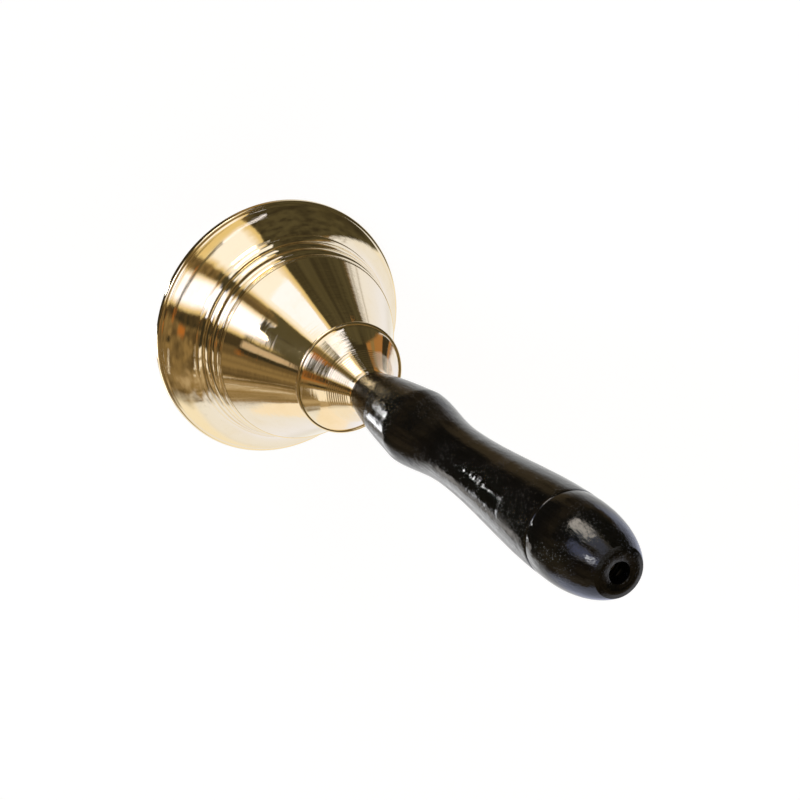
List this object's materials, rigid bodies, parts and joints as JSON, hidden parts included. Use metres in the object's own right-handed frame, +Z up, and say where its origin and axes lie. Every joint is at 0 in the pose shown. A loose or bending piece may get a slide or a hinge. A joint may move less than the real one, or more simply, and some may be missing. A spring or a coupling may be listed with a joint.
{
  "type": "hand bell",
  "caption": "Polished brass hand bell with a flared collar, a turned black wooden handle and a clapper that swings on a loose link inside the bell.",
  "frame": {"origin": "centre of the bell's mouth, in the plane that the rim stands on", "axes": "+Z up the bell's axis towards the end of the handle; the clapper's main swing is in the XZ plane"},
  "size_m": [0.1, 0.1, 0.247],
  "materials": {
    "brass_bell": "mirror polished yellow brass with faint turning marks",
    "brass_collar": "polished yellow brass with fine turned grooves",
    "black_wood": "turned hardwood under gloss black lacquer",
    "rod_steel": "drawn and formed steel, zinc plated",
    "fastener_steel": "zinc plated steel",
    "brass_clapper": "turned brass, satin"
  },
  "bodies": {
    "bell": {"bell_body": "brass_bell", "collar": "brass_collar", "handle": "black_wood", "tie_rod": "rod_steel", "handle_nut": "fastener_steel", "handle_washer": "fastener_steel", "crown_nut": "fastener_steel", "crown_washer": "fastener_steel"},
    "link": {"clapper_link": "rod_steel"},
    "clapper": {"clapper_shank": "rod_steel", "clapper_jam_nut": "fastener_steel", "clapper_ball": "brass_clapper"}
  },
  "joints": [
    {"name": "link_swing", "type": "hinge", "parent": "bell", "child": "link", "pos_m": [0, 0, 0.0464], "axis": [0, 1, 0], "range_deg": [-42, 42]},
    {"name": "clapper_swing", "type": "hinge", "parent": "link", "child": "clapper", "pos_m": [0, 0, 0.0384], "axis": [1, 0, 0], "range_deg": [-20, 20]}
  ]
}
